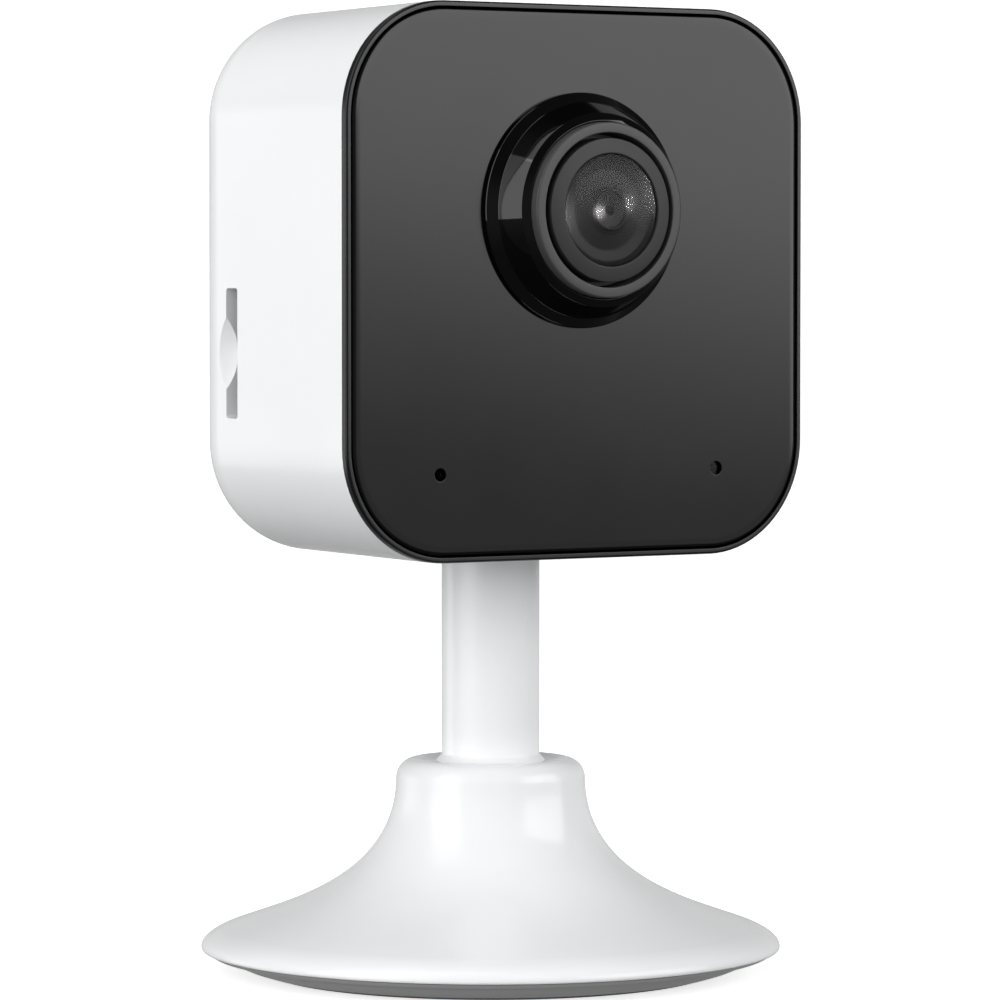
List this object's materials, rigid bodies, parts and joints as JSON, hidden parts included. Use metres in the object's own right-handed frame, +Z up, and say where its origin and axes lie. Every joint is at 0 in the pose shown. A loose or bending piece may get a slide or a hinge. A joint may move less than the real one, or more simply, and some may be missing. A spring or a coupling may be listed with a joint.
{
  "type": "security camera",
  "caption": "Compact indoor security camera: white square head with a glossy black front and raised lens, tilting on a short stem that swivels on a flared round base.",
  "frame": {"origin": "centre of the foot on the surface it stands on, on the stem's axis", "axes": "+Z up along the stem, the lens looks along -Y, +X to the right seen from the front"},
  "size_m": [0.064, 0.064, 0.1059],
  "materials": {
    "white_gloss": "white gloss",
    "grey_plastic": "matte grey",
    "foot_rubber": "matte dark grey",
    "weight_steel": "plain steel",
    "magnet_nickel": "nickel plated",
    "fastener_steel": "zinc plated",
    "black_frame": "satin black",
    "black_panel": "high gloss black",
    "panel_adhesive": "foam tape",
    "black_inner": "matte black",
    "bezel_grey": "satin grey",
    "lens_glass": "coated glass",
    "filter_glass": "coated filter glass",
    "coil_copper": "enamelled copper",
    "sensor_face": "sensor under cover glass",
    "board_green": "solder mask",
    "lamp_epoxy": "clear epoxy over chip",
    "plated_shell": "tin plated",
    "soft_rubber": "black rubber",
    "clear_pipe": "clear acrylic",
    "chip_black": "moulded epoxy",
    "pad_grey": "silicone pad",
    "spreader_aluminium": "mill finish",
    "ribbon_white": "film",
    "lead_black": "jacketed lead",
    "label_grey": "blank label"
  },
  "bodies": {
    "base": {"base_shell": "white_gloss", "base_cover": "grey_plastic", "base_foot": "foot_rubber", "base_weight": "weight_steel", "base_magnet": "magnet_nickel", "cover_screws": "fastener_steel", "swivel_washer": "fastener_steel"},
    "stem": {"stem": "white_gloss", "swivel_plate": "fastener_steel", "swivel_screw": "fastener_steel"},
    "head": {"rear_housing": "white_gloss", "pivot_screw": "fastener_steel", "pivot_nut": "fastener_steel", "friction_washers": "fastener_steel", "well_screws": "fastener_steel", "sensor_screws": "fastener_steel", "board_screws": "fastener_steel", "front_frame": "black_frame", "front_panel": "black_panel", "lens_trim_ring": "black_panel", "panel_tape": "panel_adhesive", "pivot_well": "black_inner", "lens_baffle": "black_inner", "lens_holder": "black_inner", "ir_cut_housing": "black_inner", "reset_switch": "black_inner", "speaker": "black_inner", "lens_bezel": "bezel_grey", "lens_barrel": "bezel_grey", "front_glass": "lens_glass", "inner_lenses": "lens_glass", "ir_cut_coil": "coil_copper", "image_sensor": "sensor_face", "sensor_board": "board_green", "front_board": "board_green", "main_board": "board_green", "io_board": "board_green", "antenna": "board_green", "ir_lamps": "lamp_epoxy", "status_lamp": "lamp_epoxy", "microphone": "plated_shell", "shield_can": "plated_shell", "card_socket": "plated_shell", "power_socket": "plated_shell", "mic_boot": "soft_rubber", "speaker_gasket": "soft_rubber", "light_pipe": "clear_pipe", "processor": "chip_black", "memory_chip": "chip_black", "thermal_pad": "pad_grey", "heat_spreader": "spreader_aluminium", "ribbon_cables": "ribbon_white", "antenna_lead": "lead_black", "rating_label": "label_grey"},
    "ir_blade": {"ir_cut_blade": "black_inner", "ir_filter": "filter_glass"},
    "ejector": {"card_ejector": "black_inner"},
    "plunger": {"switch_plunger": "black_inner"},
    "button": {"reset_button": "white_gloss"}
  },
  "joints": [
    {"name": "base_swivel", "type": "hinge", "parent": "base", "child": "stem", "pos_m": [0, 0, 0.0232], "axis": [0, 0, 1], "continuous": true},
    {"name": "head_tilt", "type": "hinge", "parent": "stem", "child": "head", "pos_m": [0, 0, 0.05535], "axis": [1, 0, 0], "range_deg": [-90, 25]},
    {"name": "filter_slide", "type": "slide", "parent": "head", "child": "ir_blade", "axis": [1, 0, 0], "range_m": [0, 0.0065]},
    {"name": "card_push", "type": "slide", "parent": "head", "child": "ejector", "axis": [1, 0, 0], "range_m": [0, 0.0012], "stiffness_N_per_m": 300, "springref_m": -0.0006},
    {"name": "switch_press", "type": "slide", "parent": "head", "child": "plunger", "axis": [0, -1, 0], "range_m": [0, 0.0004], "stiffness_N_per_m": 1500, "springref_m": -0.0002},
    {"name": "reset_press", "type": "slide", "parent": "head", "child": "button", "axis": [0, -1, 0], "range_m": [0, 0.0004]}
  ],
  "couplings": [
    {"joint": "reset_press", "follows": "switch_press", "ratio": 1}
  ]
}
